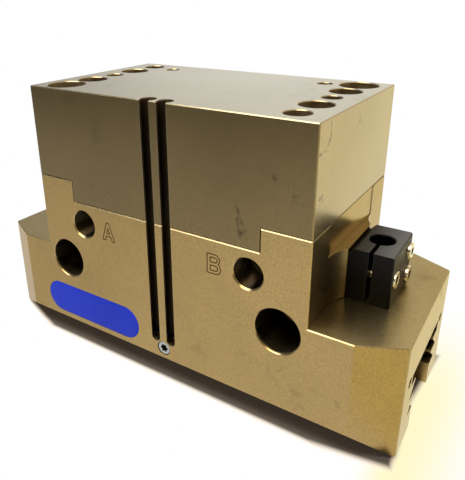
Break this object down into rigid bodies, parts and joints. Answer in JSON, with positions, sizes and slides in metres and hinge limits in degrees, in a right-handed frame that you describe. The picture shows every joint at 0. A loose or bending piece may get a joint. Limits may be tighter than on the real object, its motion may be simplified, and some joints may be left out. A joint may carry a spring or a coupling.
{
  "type": "parallel gripper",
  "caption": "Pneumatic parallel gripper with an oval piston, wedge hook, spring-held grip and toothed jaw guide, with air ports and a sensor clamp bracket.",
  "frame": {"origin": "middle of the plane of the jaws' finger faces", "axes": "+X along the jaw travel, -Y the front with the air ports, +Z towards the mounting face"},
  "size_m": [0.16, 0.064, 0.0978],
  "materials": {
    "hard_anodised_aluminium": "champagne bronze hard anodising, satin with a fine grain",
    "black_anodised_aluminium": "matt black anodising",
    "piston_aluminium": "turned, clear anodised",
    "tool_steel": "hardened and ground",
    "zinc_screw_steel": "yellow zinc plated",
    "bright_screw_steel": "bright stainless",
    "spring_steel": "oiled spring wire",
    "bush_bronze": "machined bearing bronze",
    "magnet_nickel": "nickel plated",
    "seal_rubber": "black nitrile",
    "guide_ring_plastic": "filled bearing plastic"
  },
  "bodies": {
    "housing": {"guide_housing": "hard_anodised_aluminium", "cylinder_housing": "hard_anodised_aluminium", "housing_seal": "seal_rubber", "housing_screws": "zinc_screw_steel", "housing_dowels": "tool_steel", "rod_bush": "bush_bronze", "rod_seal": "seal_rubber", "rod_seal_retainer": "tool_steel", "direct_port_plugs": "zinc_screw_steel", "groove_stop_screw": "bright_screw_steel", "left_closing_spring": "spring_steel", "right_closing_spring": "spring_steel", "sensor_bracket": "black_anodised_aluminium", "bracket_clamp_screw": "bright_screw_steel", "bracket_mounting_screws": "bright_screw_steel"},
    "piston": {"piston": "piston_aluminium", "piston_seal": "seal_rubber", "piston_guide_ring": "guide_ring_plastic", "piston_magnets": "magnet_nickel", "wedge_hook": "tool_steel", "piston_screw": "zinc_screw_steel", "rod_o_ring": "seal_rubber"},
    "left_jaw": {"left_base_jaw": "tool_steel", "left_switch_cam": "tool_steel", "left_cam_screw": "bright_screw_steel"},
    "right_jaw": {"right_base_jaw": "tool_steel", "right_switch_cam": "tool_steel", "right_cam_screw": "bright_screw_steel"}
  },
  "joints": [
    {"name": "piston_slide", "type": "slide", "parent": "housing", "child": "piston", "axis": [0, 0, 1], "range_m": [0, 0.016], "stiffness_N_per_m": 12000, "springref_m": -0.02, "deforming": ["left_closing_spring", "right_closing_spring"]},
    {"name": "right_jaw_slide", "type": "slide", "parent": "housing", "child": "right_jaw", "axis": [1, 0, 0], "range_m": [0, 0.016]},
    {"name": "left_jaw_slide", "type": "slide", "parent": "housing", "child": "left_jaw", "axis": [-1, 0, 0], "range_m": [0, 0.016]}
  ],
  "couplings": [
    {"joint": "right_jaw_slide", "follows": "piston_slide", "ratio": 1},
    {"joint": "left_jaw_slide", "follows": "piston_slide", "ratio": 1}
  ]
}
